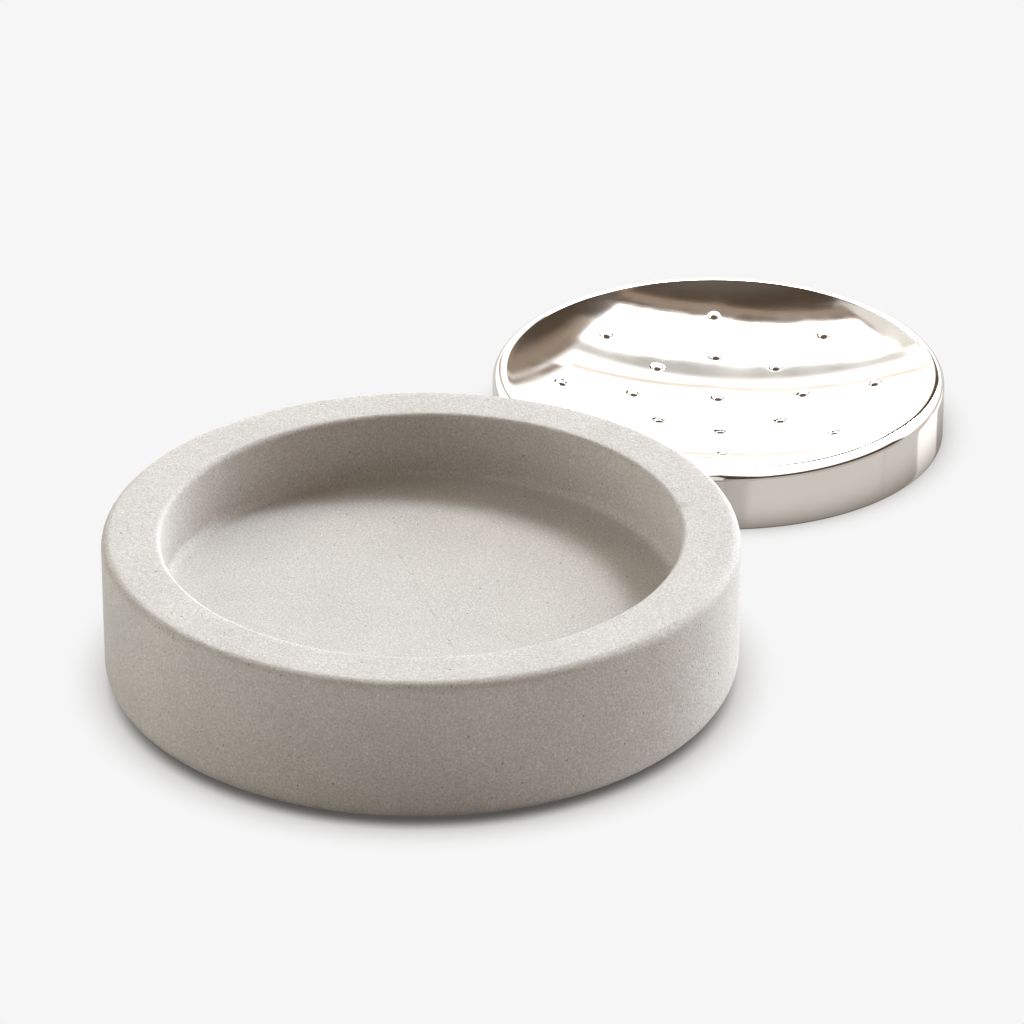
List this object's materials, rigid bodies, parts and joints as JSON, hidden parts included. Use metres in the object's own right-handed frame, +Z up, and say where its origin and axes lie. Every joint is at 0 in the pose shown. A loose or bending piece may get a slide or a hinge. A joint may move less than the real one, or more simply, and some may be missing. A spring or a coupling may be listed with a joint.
{
  "type": "soap dish with drainer",
  "caption": "Round sandstone soap dish with a loose polished-metal drainer: a shallow perforated dish on a plain skirt that drops into the stone's recess.",
  "frame": {"origin": "centre of the base pad's underside, on the surface that the dish stands on", "axes": "+X from the bowl's centre to the strainer's centre where it stands at rest, +Z up along the bowl's turning axis, +Y completes a right-handed set"},
  "size_m": [0.2447, 0.13, 0.0325],
  "materials": {
    "sandstone": "fine honed, open grain, warm grey",
    "pad_rubber": "matte silicone rubber",
    "polished_nickel": "mirror-polished warm nickel plate"
  },
  "bodies": {
    "bowl": {"stone_bowl": "sandstone", "base_pad": "pad_rubber"},
    "strainer": {"strainer": "polished_nickel"}
  },
  "joints": [
    {"name": "strainer_lift", "type": "slide", "parent": "bowl", "child": "strainer", "axis": [0, 0, 1], "range_m": [0, 0.06]}
  ]
}
